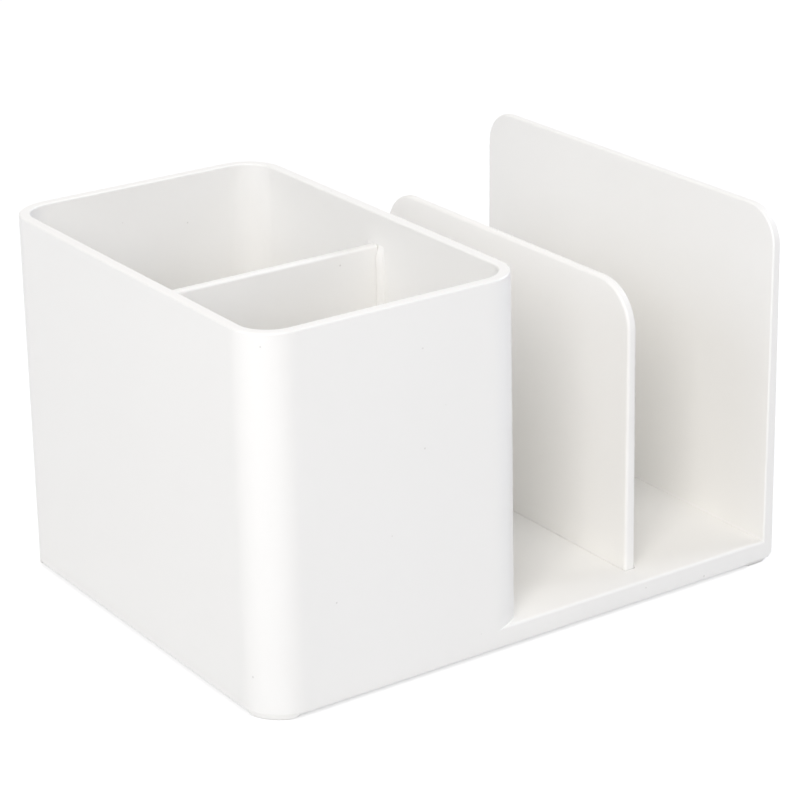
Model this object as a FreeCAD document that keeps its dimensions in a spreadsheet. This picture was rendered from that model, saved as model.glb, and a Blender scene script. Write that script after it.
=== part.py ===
import FreeCAD, Part
import Sketcher
import math
import os

# Desk organizer: a pen box with a lift-out divider, two upright panels and a low base.
# Millimetres. +X runs along the front from the pen box to the end panel, +Y goes back
# from the front and +Z is up. The origin is the middle of the footprint, on the desk.

# Driving dimensions. Heights are above the desk. Outer lengths and thicknesses of upright
# walls are taken at the desk, because the walls lean by the draft angle.
SIZES = [
    ("overall_length", 170.0, "along the front"),
    ("overall_depth", 132.0, "front to back"),
    ("rim_height", 105.0, "top of the pen box and of the end panel"),
    ("draft_angle", 0.3, "degrees that each upright face leans, so that a moulding leaves its tool"),
    ("box_width", 84.0, "pen box, along the front"),
    ("box_wall", 3.2, "pen box wall at the rim"),
    ("box_corner_radius", 12.0, "outside corners of the pen box"),
    ("rim_radius", 0.5, "rounding of the rim's edges"),
    ("floor_fillet", 2.0, "inside the pen box, between floor and walls"),
    ("deck_height", 7.0, "top of the deck and of the pen box floor"),
    ("deck_thickness", 2.4, "plate of the deck and of the pen box floor"),
    ("deck_edge_radius", 0.8, "rounding of the deck's front and back edges"),
    ("skirt_wall", 3.0, "wall under the edge of the deck"),
    ("skirt_clearance", 1.2, "gap under the skirt, between the feet"),
    ("end_panel_thickness", 3.6, "end panel"),
    ("end_panel_corner_radius", 10.5, "top corners of the end panel"),
    ("panel_edge_radius", 0.6, "rounding of the edges of both upright panels"),
    ("first_slot_width", 38.5, "between the pen box and the middle panel"),
    ("middle_panel_thickness", 3.6, "middle panel"),
    ("middle_panel_height", 90.0, "top edge of the middle panel"),
    ("middle_panel_corner_radius", 13.0, "top corners of the middle panel"),
    ("middle_panel_setback", 8.0, "ends of the middle panel from the edges of the deck"),
    ("panel_slot_clearance", 0.2, "round the middle panel, in its slot in the deck"),
    ("flange_width", 16.0, "foot of the middle panel, under the deck"),
    ("divider_thickness", 3.0, "plate of the divider"),
    ("divider_height", 96.0, "top edge of the divider and of its guide ribs"),
    ("divider_clearance", 0.3, "round the divider, in its guides"),
    ("divider_edge_radius", 0.8, "rounding of the divider's top edges"),
    ("divider_corner_cut", 2.6, "bottom corners, past the fillet of the floor"),
    ("guide_rib_height", 1.2, "proud of the wall at the rim"),
    ("guide_rib_width", 2.5, "front to back"),
    ("cover_thickness", 1.4, "base cover"),
    ("cover_recess", 0.2, "underside of the cover above the skirt's edge"),
    ("cover_clearance", 0.3, "round the cover"),
    ("cover_ledge", 1.5, "ledge that carries the edge of the cover"),
    ("screw_inset", 18.0, "screw axes from the outside faces"),
    ("screw_boss_radius", 3.5, "boss over each screw"),
    ("screw_head_radius", 2.4, "countersunk head"),
    ("screw_shank_radius", 1.25, "over the thread"),
    ("screw_length", 4.2, "with the head"),
    ("screw_clearance", 0.05, "round the screw"),
    ("hole_end_room", 0.3, "depth of each blind hole past what it holds"),
    ("cross_length", 2.6, "cross recess in the head"),
    ("cross_width", 0.6, "cross recess in the head"),
    ("cross_depth", 0.8, "cross recess in the head"),
    ("foot_length", 10.0, "each way from the corner"),
    ("foot_seat_depth", 0.5, "of the pad in the skirt"),
    ("foot_ramp_length", 2.0, "ends of the pad, cut up to the skirt's edge"),
    ("foot_edge_chamfer", 0.4, "outer lower edge of the pad"),
    ("foot_peg_radius", 1.5, "peg above the pad"),
    ("foot_peg_height", 2.6, "peg above the pad"),
    ("foot_peg_inset", 6.0, "peg axis from the outside faces"),
    ("foot_peg_clearance", 0.05, "round the peg"),
]

doc = FreeCAD.newDocument("desk_organizer")
sheet = doc.addObject("Spreadsheet::Sheet", "sizes")
for row, (alias, value, note) in enumerate(SIZES, start=1):
    sheet.set(f"A{row}", alias)
    sheet.set(f"B{row}", str(value))
    sheet.set(f"C{row}", note)
    sheet.setAlias(f"B{row}", alias)
doc.recompute()

# Places that several pieces share, as expressions over the sheet. The cavity's walls lean
# outward as they rise, so its four sides are given where they would meet the desk.
LEFT = "-sizes.overall_length / 2"
RIGHT = "sizes.overall_length / 2"
FRONT = "-sizes.overall_depth / 2"
BACK = "sizes.overall_depth / 2"
BOX_RIGHT = f"{LEFT} + sizes.box_width"
RIM_LEAN = "sizes.rim_height * tan(sizes.draft_angle)"
CAVITY_LEFT = f"{LEFT} + 2 * {RIM_LEAN} + sizes.box_wall"
CAVITY_RIGHT = f"{BOX_RIGHT} - 2 * {RIM_LEAN} - sizes.box_wall"
CAVITY_FRONT = f"{FRONT} + 2 * {RIM_LEAN} + sizes.box_wall"
CAVITY_BACK = f"{BACK} - 2 * {RIM_LEAN} - sizes.box_wall"
DECK_UNDERSIDE = "sizes.deck_height - sizes.deck_thickness"
COVER_UNDERSIDE = "sizes.skirt_clearance + sizes.cover_recess"
COVER_TOP = f"{COVER_UNDERSIDE} + sizes.cover_thickness"
END_PANEL_LEFT = f"{RIGHT} - sizes.end_panel_thickness"
MIDDLE_PANEL_LEFT = f"{BOX_RIGHT} + sizes.first_slot_width"
MIDDLE_PANEL_RIGHT = f"{MIDDLE_PANEL_LEFT} + sizes.middle_panel_thickness"
MIDDLE_PANEL_FRONT = f"{FRONT} + sizes.middle_panel_setback"
MIDDLE_PANEL_BACK = f"{BACK} - sizes.middle_panel_setback"
COVER_INSET = "sizes.skirt_wall + sizes.cover_clearance"
LEDGE_INSET = "sizes.skirt_wall + sizes.cover_ledge"
FLANGE_INSET = f"{LEDGE_INSET} + sizes.cover_clearance"
FOOT_TOP = "sizes.skirt_clearance + sizes.foot_seat_depth"
SCREW_TIP = f"{COVER_UNDERSIDE} + sizes.screw_length"
SCREW_HOLE_RADIUS = "sizes.screw_shank_radius + sizes.screw_clearance"
SCREW_CONE_HEIGHT = "sizes.screw_head_radius - sizes.screw_shank_radius"
DIVIDER_BOTTOM = "sizes.deck_height + sizes.divider_clearance"
GUIDE_GAP = "sizes.divider_thickness / 2 + sizes.divider_clearance"

# The four corners of the base, each with the way from the middle to it.
CORNERS = {
    "front_left": (-1, -1),
    "front_right": (1, -1),
    "back_left": (-1, 1),
    "back_right": (1, 1),
}


def number(expression):
    """The value of an expression over the sheet, in millimetres."""
    return float(sheet.evalExpression(expression))


def new_body(label):
    """An empty body whose label is the name of its sub-part."""
    body = doc.addObject("PartDesign::Body", label)
    body.Label = label
    return body


def origin_feature(body, role):
    """One of the body's own origin planes or axes."""
    return next(feature for feature in body.Origin.OriginFeatures if feature.Role == role)


def new_sketch(body, name, plane, offset):
    """A sketch on one of the body's origin planes, moved along the plane's normal."""
    sketch = body.newObject("Sketcher::SketchObject", name)
    sketch.AttachmentSupport = [(origin_feature(body, plane), "")]
    sketch.MapMode = "FlatFace"
    sketch.setExpression("AttachmentOffset.Base.z", offset)
    return sketch


def place_point(sketch, line, end, point, name):
    """Hold one end of a line at a place given by two expressions."""
    for axis, expression in zip("XY", point):
        constraint = Sketcher.Constraint(f"Distance{axis}", line, end, number(expression))
        index = sketch.addConstraint(constraint)
        sketch.renameConstraint(index, f"{name}_{axis.lower()}")
        sketch.setExpression(f"Constraints.{name}_{axis.lower()}", expression)


def outline(body, name, plane, offset, points):
    """A closed sketch of straight lines through points given by expressions."""
    sketch = new_sketch(body, name, plane, offset)
    corners = [FreeCAD.Vector(number(x), number(y), 0) for x, y in points]
    count = len(corners)
    for index in range(count):
        sketch.addGeometry(Part.LineSegment(corners[index], corners[(index + 1) % count]))
    for index in range(count):
        sketch.addConstraint(Sketcher.Constraint("Coincident", index, 2, (index + 1) % count, 1))
    for index, point in enumerate(points):
        place_point(sketch, index, 1, point, f"corner_{index}")
    return sketch


def rectangle(body, name, height, x_low, x_high, y_low, y_high):
    """A level rectangular sketch at a height above the desk."""
    points = [(x_low, y_low), (x_high, y_low), (x_high, y_high), (x_low, y_high)]
    return outline(body, name, "XY_Plane", height, points)


def circle(body, name, height, x, y, radius):
    """A level circular sketch at a height above the desk."""
    sketch = new_sketch(body, name, "XY_Plane", height)
    centre = FreeCAD.Vector(number(x), number(y), 0)
    sketch.addGeometry(Part.Circle(centre, FreeCAD.Vector(0, 0, 1), number(radius)))
    place_point(sketch, 0, 3, (x, y), "centre")
    index = sketch.addConstraint(Sketcher.Constraint("Radius", 0, number(radius)))
    sketch.renameConstraint(index, "radius")
    sketch.setExpression("Constraints.radius", radius)
    return sketch


def pad(body, sketch, length):
    """Add material above a sketch."""
    feature = body.newObject("PartDesign::Pad", f"{sketch.Name}_pad")
    feature.Profile = sketch
    feature.Refine = True
    feature.setExpression("Length", length)
    doc.recompute()
    return feature


def pocket(body, sketch, depth, upward=False, both_ways=False):
    """Cut material away below a sketch, above it, or half the depth each way from it."""
    volume = body.Tip.Shape.Volume
    feature = body.newObject("PartDesign::Pocket", f"{sketch.Name}_cut")
    feature.Profile = sketch
    feature.Refine = True
    feature.Reversed = upward
    feature.Midplane = both_ways
    feature.setExpression("Length", depth)
    doc.recompute()
    if feature.Shape.Volume >= volume:
        raise ValueError(f"{feature.Name} cuts nothing")
    return feature


def dress(body, kind, name, names, sizes):
    """A fillet, chamfer or draft on named edges or faces of what the body is so far."""
    base = body.Tip
    feature = body.newObject(f"PartDesign::{kind}", name)
    feature.Base = (base, names)
    for size_name, expression in sizes.items():
        feature.setExpression(size_name, expression)
    return feature


def draft(body, name, faces):
    """Lean upright faces about the desk's plane, so that every wall thins as it rises."""
    feature = dress(body, "Draft", name, faces, {"Angle": "sizes.draft_angle"})
    feature.NeutralPlane = (origin_feature(body, "XY_Plane"), [""])
    doc.recompute()
    return feature


def fillet(body, name, edges, radius):
    """Round edges, and those that follow them smoothly."""
    feature = dress(body, "Fillet", name, edges, {"Radius": radius})
    doc.recompute()
    return feature


def chamfer(body, name, edges, size):
    """Bevel edges, and those that follow them smoothly."""
    feature = dress(body, "Chamfer", name, edges, {"Size": size})
    doc.recompute()
    return feature


def upright_faces(shape, inside=None):
    """Names of a shape's upright faces, or of those whose middle lies in a box."""
    names = []
    for index, face in enumerate(shape.Faces, start=1):
        upright = abs(face.normalAt(0, 0).z) < 1e-6
        if upright and (inside is None or inside.isInside(face.CenterOfMass)):
            names.append(f"Face{index}")
    return names


def edge_at(shape, x, y, z):
    """Name of the edge that passes through a place."""
    point = Part.Vertex(x, y, z)
    gaps = [point.distToShape(edge)[0] for edge in shape.Edges]
    closest = min(gaps)
    if closest > 0.05:
        raise ValueError(f"no edge within 0.05 mm of {x:.2f}, {y:.2f}, {z:.2f}")
    return f"Edge{gaps.index(closest) + 1}"


def from_x(side, distance):
    """A place in from the left side face (-1) or the right one (1)."""
    return f"{side} * (sizes.overall_length / 2 - ({distance}))"


def from_y(side, distance):
    """A place in from the front face (-1) or the back one (1)."""
    return f"{side} * (sizes.overall_depth / 2 - ({distance}))"


def lean(height):
    """How far an upright face has leaned at a height above the desk."""
    return height * math.tan(math.radians(sheet.draft_angle))


def cross_sketches(body, name, height, side_inset, corner_inset):
    """Two rectangles that cover the base inside its skirt, all but its four corners."""
    long = rectangle(
        body, f"{name}_long", height,
        from_x(-1, side_inset), from_x(1, side_inset),
        from_y(-1, corner_inset), from_y(1, corner_inset),
    )
    broad = rectangle(
        body, f"{name}_broad", height,
        from_x(-1, corner_inset), from_x(1, corner_inset),
        from_y(-1, side_inset), from_y(1, side_inset),
    )
    return long, broad


def add_blocks(body):
    """The base, the pen box and the end panel as solid blocks with leaning sides."""
    height = "sizes.skirt_clearance"
    full_height = "sizes.rim_height - sizes.skirt_clearance"
    base = rectangle(body, "base", height, LEFT, RIGHT, FRONT, BACK)
    pad(body, base, "sizes.deck_height - sizes.skirt_clearance")
    box = rectangle(body, "pen_box", height, LEFT, BOX_RIGHT, FRONT, BACK)
    pad(body, box, full_height)
    panel = rectangle(body, "end_panel", height, END_PANEL_LEFT, RIGHT, FRONT, BACK)
    pad(body, panel, full_height)
    draft(body, "outer_draft", upright_faces(body.Tip.Shape))


def cut_pen_cavity(body):
    """The open inside of the pen box, a little wider at the rim than at the floor."""
    cavity = rectangle(
        body, "pen_cavity", "sizes.rim_height",
        CAVITY_LEFT, CAVITY_RIGHT, CAVITY_FRONT, CAVITY_BACK,
    )
    pocket(body, cavity, "sizes.rim_height - sizes.deck_height")
    margin = sheet.box_wall / 4
    inside = FreeCAD.BoundBox(
        number(CAVITY_LEFT) - margin, number(CAVITY_FRONT) - margin, sheet.deck_height,
        number(CAVITY_RIGHT) + margin, number(CAVITY_BACK) + margin, sheet.rim_height,
    )
    draft(body, "cavity_draft", upright_faces(body.Tip.Shape, inside))


def round_pen_box(body):
    """The upright corners of the pen box, inside and outside, its floor and its rim."""
    middle = (sheet.rim_height + sheet.deck_height) / 2
    outer = [
        edge_at(body.Tip.Shape, number(x) - side * lean(middle), number(y) - end * lean(middle), middle)
        for side, x in ((-1, LEFT), (1, BOX_RIGHT))
        for end, y in ((-1, FRONT), (1, BACK))
    ]
    fillet(body, "box_corners", outer, "sizes.box_corner_radius")
    inner = [
        edge_at(body.Tip.Shape, number(x) + side * lean(middle), number(y) + end * lean(middle), middle)
        for side, x in ((-1, CAVITY_LEFT), (1, CAVITY_RIGHT))
        for end, y in ((-1, CAVITY_FRONT), (1, CAVITY_BACK))
    ]
    fillet(body, "cavity_corners", inner, "sizes.box_corner_radius - sizes.box_wall")
    across = number(f"{LEFT} + sizes.box_width / 2")
    floor_front = number(CAVITY_FRONT) - lean(sheet.deck_height)
    floor_edge = edge_at(body.Tip.Shape, across, floor_front, sheet.deck_height)
    fillet(body, "floor_edge", [floor_edge], "sizes.floor_fillet")
    rim = sheet.rim_height
    rim_edges = [
        edge_at(body.Tip.Shape, across, number(FRONT) + lean(rim), rim),
        edge_at(body.Tip.Shape, across, number(CAVITY_FRONT) - lean(rim), rim),
    ]
    fillet(body, "rim_edges", rim_edges, "sizes.rim_radius")


def round_end_panel(body):
    """The top corners of the end panel and the long edges round it."""
    top = sheet.rim_height
    along = number(RIGHT) - sheet.end_panel_thickness / 2
    corners = [
        edge_at(body.Tip.Shape, along, side * (number(BACK) - lean(top)), top)
        for side in (-1, 1)
    ]
    fillet(body, "end_panel_corners", corners, "sizes.end_panel_corner_radius")
    edges = [
        edge_at(body.Tip.Shape, number(RIGHT) - lean(top), 0, top),
        edge_at(body.Tip.Shape, number(END_PANEL_LEFT) + lean(top), 0, top),
    ]
    fillet(body, "end_panel_edges", edges, "sizes.panel_edge_radius")


def round_deck_edges(body):
    """The front and back edges of the deck, between the pen box and the end panel."""
    along = (number(BOX_RIGHT) + number(END_PANEL_LEFT)) / 2
    height = sheet.deck_height
    edges = [
        edge_at(body.Tip.Shape, along, side * (number(BACK) - lean(height)), height)
        for side in (-1, 1)
    ]
    fillet(body, "deck_edges", edges, "sizes.deck_edge_radius")


def add_guide_ribs(body):
    """Two upright ribs on each side wall of the pen box, with the divider between them."""
    walls = (
        ("left", f"{CAVITY_LEFT} - {RIM_LEAN} - sizes.box_wall / 2",
         f"{CAVITY_LEFT} - {RIM_LEAN} + sizes.guide_rib_height"),
        ("right", f"{CAVITY_RIGHT} + {RIM_LEAN} - sizes.guide_rib_height",
         f"{CAVITY_RIGHT} + {RIM_LEAN} + sizes.box_wall / 2"),
    )
    for wall, x_low, x_high in walls:
        for place, side in (("front", -1), ("back", 1)):
            near = f"{side} * ({GUIDE_GAP})"
            far = f"{near} + {side} * sizes.guide_rib_width"
            rib = rectangle(body, f"guide_rib_{wall}_{place}", "sizes.deck_height", x_low, x_high, near, far)
            pad(body, rib, "sizes.divider_height - sizes.deck_height")


def hollow_base(body):
    """The recess for the base cover, and above its ledge the space for the flange."""
    cover_edge = "sizes.skirt_clearance"
    for sketch in cross_sketches(body, "cover_recess", cover_edge, "sizes.skirt_wall", "sizes.foot_length"):
        pocket(body, sketch, f"{COVER_TOP} - sizes.skirt_clearance", upward=True)
    corner_inset = "sizes.foot_length + sizes.cover_ledge"
    for sketch in cross_sketches(body, "flange_space", COVER_TOP, LEDGE_INSET, corner_inset):
        pocket(body, sketch, f"{DECK_UNDERSIDE} - ({COVER_TOP})", upward=True)
    slot = rectangle(
        body, "panel_slot", "sizes.deck_height",
        f"{MIDDLE_PANEL_LEFT} - sizes.panel_slot_clearance",
        f"{MIDDLE_PANEL_RIGHT} + sizes.panel_slot_clearance",
        f"{MIDDLE_PANEL_FRONT} - sizes.panel_slot_clearance",
        f"{MIDDLE_PANEL_BACK} + sizes.panel_slot_clearance",
    )
    pocket(body, slot, "sizes.deck_thickness")


def add_corner_fixings(body):
    """At each corner a boss for a cover screw, and a seat and a socket for a foot."""
    for corner, (side, end) in CORNERS.items():
        x = from_x(side, "sizes.screw_inset")
        y = from_y(end, "sizes.screw_inset")
        boss = circle(body, f"boss_{corner}", COVER_TOP, x, y, "sizes.screw_boss_radius")
        pad(body, boss, f"{DECK_UNDERSIDE} - ({COVER_TOP})")
        hole = circle(body, f"screw_hole_{corner}", COVER_TOP, x, y, SCREW_HOLE_RADIUS)
        pocket(body, hole, f"{SCREW_TIP} + sizes.hole_end_room - ({COVER_TOP})", upward=True)
        seat = rectangle(
            body, f"foot_seat_{corner}", "sizes.skirt_clearance",
            from_x(side, "-sizes.foot_length"), from_x(side, "sizes.foot_length"),
            from_y(end, "-sizes.foot_length"), from_y(end, "sizes.foot_length"),
        )
        pocket(body, seat, "sizes.foot_seat_depth", upward=True)
        socket = circle(
            body, f"foot_socket_{corner}", FOOT_TOP,
            from_x(side, "sizes.foot_peg_inset"), from_y(end, "sizes.foot_peg_inset"),
            "sizes.foot_peg_radius + sizes.foot_peg_clearance",
        )
        pocket(body, socket, "sizes.foot_peg_height + sizes.hole_end_room", upward=True)


def make_organizer_body():
    """The main moulding: pen box, deck, skirt and end panel in one."""
    body = new_body("organizer_body")
    add_blocks(body)
    cut_pen_cavity(body)
    round_deck_edges(body)
    round_pen_box(body)
    round_end_panel(body)
    add_guide_ribs(body)
    hollow_base(body)
    add_corner_fixings(body)


def make_pen_divider():
    """A plate that drops between the guide ribs, across the middle of the pen box."""
    body = new_body("pen_divider")
    side_lean = "tan(sizes.draft_angle)"
    top = "sizes.divider_height"
    cut_top = f"{DIVIDER_BOTTOM} + sizes.divider_corner_cut"
    left = f"{CAVITY_LEFT} + sizes.divider_clearance"
    right = f"{CAVITY_RIGHT} - sizes.divider_clearance"
    points = [
        (f"{left} - ({DIVIDER_BOTTOM}) * {side_lean} + sizes.divider_corner_cut", DIVIDER_BOTTOM),
        (f"{right} + ({DIVIDER_BOTTOM}) * {side_lean} - sizes.divider_corner_cut", DIVIDER_BOTTOM),
        (f"{right} + ({cut_top}) * {side_lean}", cut_top),
        (f"{right} + {top} * {side_lean}", top),
        (f"{left} - {top} * {side_lean}", top),
        (f"{left} - ({cut_top}) * {side_lean}", cut_top),
    ]
    plate = outline(body, "plate", "XZ_Plane", "0.0", points)
    feature = pad(body, plate, "sizes.divider_thickness")
    feature.Midplane = True
    doc.recompute()
    across = number(f"{LEFT} + sizes.box_width / 2")
    edges = [
        edge_at(body.Tip.Shape, across, side * sheet.divider_thickness / 2, sheet.divider_height)
        for side in (-1, 1)
    ]
    fillet(body, "top_edges", edges, "sizes.divider_edge_radius")


def make_middle_panel():
    """A thin leaning-sided plate on a flange, pushed up through the deck from below."""
    body = new_body("middle_panel")
    flange_middle = f"{MIDDLE_PANEL_LEFT} + sizes.middle_panel_thickness / 2"
    blade = rectangle(
        body, "blade", COVER_TOP,
        MIDDLE_PANEL_LEFT, MIDDLE_PANEL_RIGHT, MIDDLE_PANEL_FRONT, MIDDLE_PANEL_BACK,
    )
    pad(body, blade, f"sizes.middle_panel_height - ({COVER_TOP})")
    draft(body, "blade_draft", upright_faces(body.Tip.Shape))
    top = sheet.middle_panel_height
    middle = number(flange_middle)
    corners = [
        edge_at(body.Tip.Shape, middle, side * (number(MIDDLE_PANEL_BACK) - lean(top)), top)
        for side in (-1, 1)
    ]
    fillet(body, "blade_corners", corners, "sizes.middle_panel_corner_radius")
    edges = [
        edge_at(body.Tip.Shape, number(MIDDLE_PANEL_LEFT) + lean(top), 0, top),
        edge_at(body.Tip.Shape, number(MIDDLE_PANEL_RIGHT) - lean(top), 0, top),
    ]
    fillet(body, "blade_edges", edges, "sizes.panel_edge_radius")
    flange = rectangle(
        body, "flange", COVER_TOP,
        f"{flange_middle} - sizes.flange_width / 2", f"{flange_middle} + sizes.flange_width / 2",
        from_y(-1, FLANGE_INSET), from_y(1, FLANGE_INSET),
    )
    pad(body, flange, f"{DECK_UNDERSIDE} - ({COVER_TOP})")


def make_base_cover():
    """The flat plate that closes the hollow base, notched round the four feet."""
    body = new_body("base_cover")
    corner_inset = "sizes.foot_length + sizes.cover_clearance"
    for sketch in cross_sketches(body, "plate", COVER_UNDERSIDE, COVER_INSET, corner_inset):
        pad(body, sketch, "sizes.cover_thickness")
    holes = []
    for corner, (side, end) in CORNERS.items():
        x = from_x(side, "sizes.screw_inset")
        y = from_y(end, "sizes.screw_inset")
        hole = circle(body, f"screw_hole_{corner}", COVER_UNDERSIDE, x, y, SCREW_HOLE_RADIUS)
        pocket(body, hole, "sizes.cover_thickness", upward=True)
        holes.append((number(x) + number(SCREW_HOLE_RADIUS), number(y)))
    edges = [edge_at(body.Tip.Shape, x, y, number(COVER_UNDERSIDE)) for x, y in holes]
    chamfer(body, "countersinks", edges, SCREW_CONE_HEIGHT)


def make_cover_screw(corner, side, end):
    """A countersunk self-tapping screw with a cross recess, driven up from below."""
    body = new_body(f"cover_screw_{corner}")
    shank = "sizes.screw_shank_radius"
    points = [
        ("0.0", "0.0"),
        ("sizes.screw_head_radius", "0.0"),
        (shank, SCREW_CONE_HEIGHT),
        (shank, f"sizes.screw_length - {shank}"),
        ("0.0", "sizes.screw_length"),
    ]
    profile = outline(body, "profile", "XZ_Plane", "0.0", points)
    turned = body.newObject("PartDesign::Revolution", "turned")
    turned.Profile = profile
    turned.ReferenceAxis = (profile, ["V_Axis"])
    turned.Angle = 360
    doc.recompute()
    half_length = "sizes.cross_length / 2"
    half_width = "sizes.cross_width / 2"
    arms = ((half_length, half_width), (half_width, half_length))
    for name, (half_x, half_y) in zip(("cross_x", "cross_y"), arms):
        arm = rectangle(body, name, "0.0", f"-{half_x}", half_x, f"-{half_y}", half_y)
        pocket(body, arm, "sizes.cross_depth", upward=True)
    body.setExpression("Placement.Base.x", from_x(side, "sizes.screw_inset"))
    body.setExpression("Placement.Base.y", from_y(end, "sizes.screw_inset"))
    body.setExpression("Placement.Base.z", COVER_UNDERSIDE)


def ramp_foot_ends(body, side, end):
    """The two ends of the pad, cut back from the skirt's edge down to the desk."""
    end_x = from_x(side, "sizes.foot_length")
    end_y = from_y(end, "sizes.foot_length")
    start = "sizes.foot_length - sizes.foot_ramp_length"
    ramps = (
        ("ramp_x", "XZ_Plane", end_x, from_x(side, start)),
        ("ramp_y", "YZ_Plane", end_y, from_y(end, start)),
    )
    for name, plane, far, near in ramps:
        points = [(far, "0.0"), (near, "0.0"), (far, "sizes.skirt_clearance")]
        ramp = outline(body, name, plane, "0.0", points)
        pocket(body, ramp, "2 * sizes.overall_length", both_ways=True)


def make_foot(corner, side, end):
    """A pad that follows one corner of the base, with ramped ends and a peg on top."""
    body = new_body(f"foot_{corner}")
    radius = "sizes.box_corner_radius" if side < 0 else "sizes.panel_edge_radius"
    blank_length = "sizes.foot_length + sizes.box_corner_radius"
    blank = rectangle(
        body, "blank", "0.0",
        from_x(side, "0.0"), from_x(side, blank_length), from_y(end, "0.0"), from_y(end, blank_length),
    )
    pad(body, blank, FOOT_TOP)
    outer_x = number(from_x(side, "0.0"))
    outer_y = number(from_y(end, "0.0"))
    upright = edge_at(body.Tip.Shape, outer_x, outer_y, number(FOOT_TOP) / 2)
    fillet(body, "corner", [upright], radius)
    along_y = number(from_y(end, f"{blank_length} - sizes.foot_length / 2"))
    lower = edge_at(body.Tip.Shape, outer_x, along_y, 0)
    chamfer(body, "lower_edge", [lower], "sizes.foot_edge_chamfer")
    outside = "-sizes.foot_length"
    beyond = f"2 * ({blank_length})"
    trims = (
        ("trim_x", "sizes.foot_length", outside),
        ("trim_y", outside, "sizes.foot_length"),
    )
    for name, x_inset, y_inset in trims:
        trim = rectangle(
            body, name, "0.0",
            from_x(side, x_inset), from_x(side, beyond), from_y(end, y_inset), from_y(end, beyond),
        )
        pocket(body, trim, FOOT_TOP, upward=True)
    ramp_foot_ends(body, side, end)
    peg = circle(
        body, "peg", FOOT_TOP,
        from_x(side, "sizes.foot_peg_inset"), from_y(end, "sizes.foot_peg_inset"),
        "sizes.foot_peg_radius",
    )
    pad(body, peg, "sizes.foot_peg_height")


make_organizer_body()
make_pen_divider()
make_middle_panel()
make_base_cover()
for corner, (side, end) in CORNERS.items():
    make_cover_screw(corner, side, end)
    make_foot(corner, side, end)
doc.recompute()

failed = [item.Name for item in doc.Objects if {"Invalid", "Error"} & set(item.State)]
if failed:
    raise ValueError(f"features that failed: {failed}")
bodies = [item for item in doc.Objects if item.TypeId == "PartDesign::Body"]
for body in bodies:
    if body.Shape.isNull() or not body.Shape.isValid() or len(body.Shape.Solids) != 1:
        raise ValueError(f"{body.Label} is not one valid solid")

os.makedirs("parts", exist_ok=True)
for body in bodies:
    body.Shape.exportStep(f"parts/{body.Label}.step")
    print(f"{body.Label}: {body.Shape.Volume / 1000:.2f} cm3")
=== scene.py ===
import math

import bmesh
import bpy
from mathutils import Matrix, Vector


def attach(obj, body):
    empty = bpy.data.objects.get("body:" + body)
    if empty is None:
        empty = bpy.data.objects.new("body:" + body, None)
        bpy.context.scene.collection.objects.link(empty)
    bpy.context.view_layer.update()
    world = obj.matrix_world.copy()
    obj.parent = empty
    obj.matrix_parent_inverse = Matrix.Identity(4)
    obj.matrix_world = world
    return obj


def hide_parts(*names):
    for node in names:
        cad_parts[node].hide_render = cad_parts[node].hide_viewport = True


# A desk organizer: one white moulding holds a pen box and an end panel on a low base, a middle
# panel stands in a slot in the deck and a plate divides the pen box. Sizes here are millimetres,
# and meshes are in the frame's metres. +X runs along the front and +Y goes back from it.
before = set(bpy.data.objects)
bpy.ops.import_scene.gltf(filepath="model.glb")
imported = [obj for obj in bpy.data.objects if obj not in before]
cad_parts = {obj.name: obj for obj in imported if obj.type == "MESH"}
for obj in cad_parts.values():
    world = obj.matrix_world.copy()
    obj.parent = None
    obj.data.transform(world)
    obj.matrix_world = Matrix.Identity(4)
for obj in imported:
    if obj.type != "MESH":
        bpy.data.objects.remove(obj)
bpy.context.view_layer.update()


# The main moulding: pen box, deck, skirt and end panel in one piece of white ABS. It is injection
# moulded, so every upright face leans by the draft, the walls are even and the edges are rounded.
MM = 0.001
WELD = 0.001
LEFT, RIGHT, FRONT, BACK = -85.0, 85.0, -66.0, 66.0
BOX_RIGHT = -1.0
RIM = 105.0
BOX_WALL = 3.2
BOX_CORNER = 12.0
RIM_ROUND = 0.5
DECK = 7.0
DECK_ROUND = 0.8
FLOOR_FILLET = 2.0
SKIRT_EDGE = 1.2
SKIRT_ROUND = 0.3
RIGHT_BEVEL = 1.3
DRAFT = math.radians(0.3)
PANEL_LEFT = 81.4
PANEL_CORNER = 10.5
PANEL_ROUND = 0.6
ARC_STEPS = 20
ROUND_STEPS = 5
SKIRT_STEPS = 3
DECK_STEPS = 4


def lean(height):
    """How far an upright face has leaned inward at a height above the desk."""
    return height * math.tan(DRAFT)


def sweep(start, end, steps):
    """Even angles from one to another, both included, in radians."""
    return [math.radians(start + (end - start) * step / steps) for step in range(steps + 1)]


def level_arc(x, y, radius, start, end, steps, height):
    """Points along a level arc round a centre, between two angles in degrees."""
    return [
        (x + radius * math.cos(angle), y + radius * math.sin(angle), height)
        for angle in sweep(start, end, steps)
    ]


def box_ring(inset, radius, height):
    """A level rounded rectangle in from the sides of the pen box, from its front right corner."""
    left, right = LEFT + inset + radius, BOX_RIGHT - inset - radius
    front, back = FRONT + inset + radius, BACK - inset - radius
    corners = ((right, front, -90), (right, back, 0), (left, back, 90), (left, front, 180))
    return [
        point
        for x, y, start in corners
        for point in level_arc(x, y, radius, start, start + 90, ARC_STEPS, height)
    ]


def add_face(bm, points):
    """One face through points given in millimetres."""
    return bm.faces.new([bm.verts.new(Vector(point) * MM) for point in points])


def add_strip(bm, lower, upper, closed=True):
    """A band of faces between two rows of points. Where two points meet, its face is a triangle."""
    count = len(lower)
    for index in range(count if closed else count - 1):
        following = (index + 1) % count
        corners = [lower[index], lower[following], upper[following], upper[index]]
        kept = [
            corner for place, corner in enumerate(corners)
            if (Vector(corner) - Vector(corners[place - 1])).length > WELD / 10
        ]
        if len(kept) > 2:
            add_face(bm, kept)


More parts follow.
